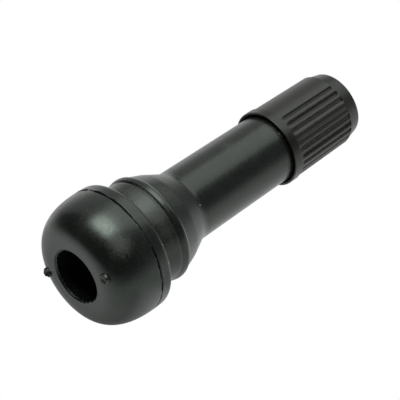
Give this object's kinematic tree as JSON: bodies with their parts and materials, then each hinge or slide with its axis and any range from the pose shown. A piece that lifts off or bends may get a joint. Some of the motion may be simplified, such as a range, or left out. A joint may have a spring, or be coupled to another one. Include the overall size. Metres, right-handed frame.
{
  "type": "tyre valve",
  "caption": "Snap-in rubber tyre valve with a domed base, rim seat groove, brass stem and sprung core inside, closed by a fluted plastic screw cap.",
  "frame": {"origin": "centre of the flat end face of the base, on the valve's axis", "axes": "+Z along the valve's axis from the base to the cap, +X through the two nibs on the end face"},
  "size_m": [0.0168, 0.0168, 0.0458],
  "materials": {
    "body_rubber": "moulded, satin, with a faint grey bloom",
    "brass": "turned",
    "packing_rubber": "moulded, matt",
    "spring_steel": "drawn wire",
    "seal_rubber": "matt",
    "cap_plastic": "moulded, matt dark grey"
  },
  "bodies": {
    "valve": {"rubber_body": "body_rubber", "brass_stem": "brass", "core_plug": "brass", "core_barrel": "brass", "barrel_packing": "packing_rubber", "core_spring": "spring_steel"},
    "pin": {"core_pin": "brass", "gasket_cup": "brass", "cup_gasket": "seal_rubber"},
    "seal": {"cap_seal": "seal_rubber"},
    "cap": {"cap_shell": "cap_plastic"}
  },
  "joints": [
    {"name": "pin_press", "type": "slide", "parent": "valve", "child": "pin", "axis": [0, 0, -1], "range_m": [0, 0.0012], "stiffness_N_per_m": 2000, "springref_m": -0.001, "deforming": ["core_spring"]},
    {"name": "cap_lift", "type": "slide", "parent": "valve", "child": "seal", "axis": [0, 0, 1], "range_m": [0, 0.00992]},
    {"name": "cap_turn", "type": "hinge", "parent": "seal", "child": "cap", "pos_m": [0, 0, 0.03965], "axis": [0, 0, 1], "range_deg": [0, 4500]}
  ],
  "couplings": [
    {"joint": "cap_turn", "follows": "cap_lift", "rad_per_m": 7915.8}
  ]
}
